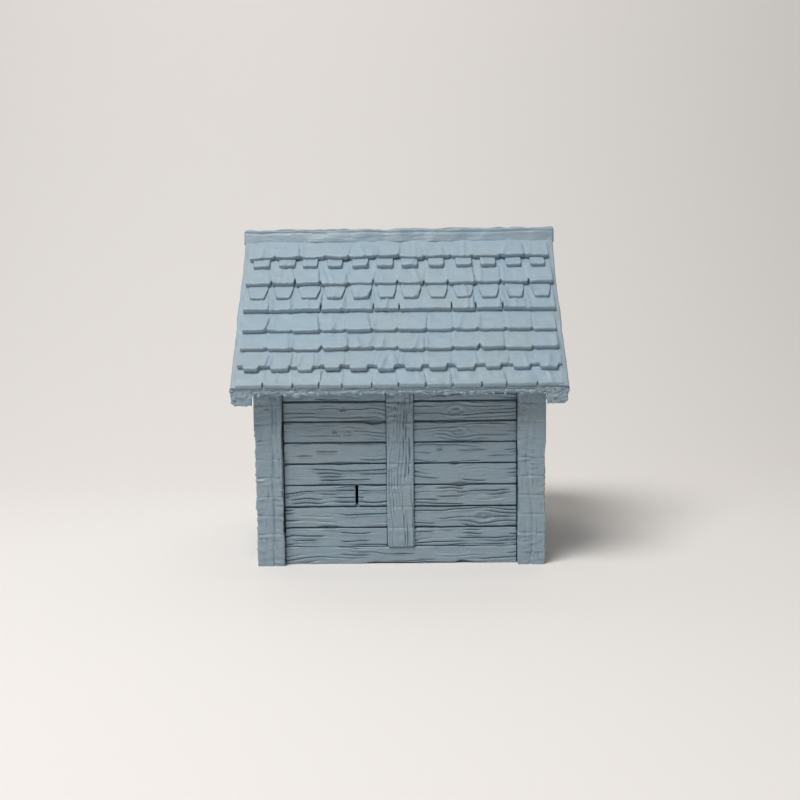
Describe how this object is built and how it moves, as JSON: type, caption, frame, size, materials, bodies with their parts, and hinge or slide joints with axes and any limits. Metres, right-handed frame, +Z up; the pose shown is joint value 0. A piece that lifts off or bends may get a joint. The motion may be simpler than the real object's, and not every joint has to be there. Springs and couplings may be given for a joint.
{
  "type": "model hay barn",
  "caption": "Tabletop model hay barn: plank walls between heavy posts, a steep shingled gable roof with ridge boards, hollow and open underneath.",
  "frame": {"origin": "middle of the footprint, on the ground that the barn stands on", "axes": "+X along the ridge to the right, +Y to the back, away from the side shown, +Z up"},
  "size_m": [0.1104, 0.0992, 0.1123],
  "materials": {
    "roof_shingles": "matte grey-blue printed plastic, with fine layer lines",
    "roof_timber": "matte grey-blue printed plastic, with carved grain",
    "frame_timber": "matte grey-blue printed plastic, with fine layer lines",
    "wall_boards": "matte grey-blue printed plastic, with carved grain"
  },
  "bodies": {
    "root": {"front_wall": "wall_boards", "back_wall": "wall_boards", "left_gable_wall": "wall_boards", "right_gable_wall": "wall_boards", "front_left_boards": "wall_boards", "front_right_boards": "wall_boards", "back_left_boards": "wall_boards", "back_right_boards": "wall_boards", "left_gable_front_boards": "wall_boards", "left_gable_back_boards": "wall_boards", "right_gable_front_boards": "wall_boards", "right_gable_back_boards": "wall_boards", "front_left_post": "frame_timber", "front_right_post": "frame_timber", "back_left_post": "frame_timber", "back_right_post": "frame_timber", "front_mid_post": "frame_timber", "back_mid_post": "frame_timber", "left_mid_post": "frame_timber", "right_mid_post": "frame_timber", "front_sill": "frame_timber", "back_sill": "frame_timber", "left_sill": "frame_timber", "right_sill": "frame_timber", "front_roof_deck": "roof_timber", "back_roof_deck": "roof_timber", "front_shingles": "roof_shingles", "back_shingles": "roof_shingles", "front_ridge_board": "roof_timber", "back_ridge_board": "roof_timber", "front_left_barge_rafter": "roof_timber", "front_right_barge_rafter": "roof_timber", "back_left_barge_rafter": "roof_timber", "back_right_barge_rafter": "roof_timber", "front_rafter_tail": "roof_timber", "back_rafter_tail": "roof_timber"}
  },
  "joints": []
}
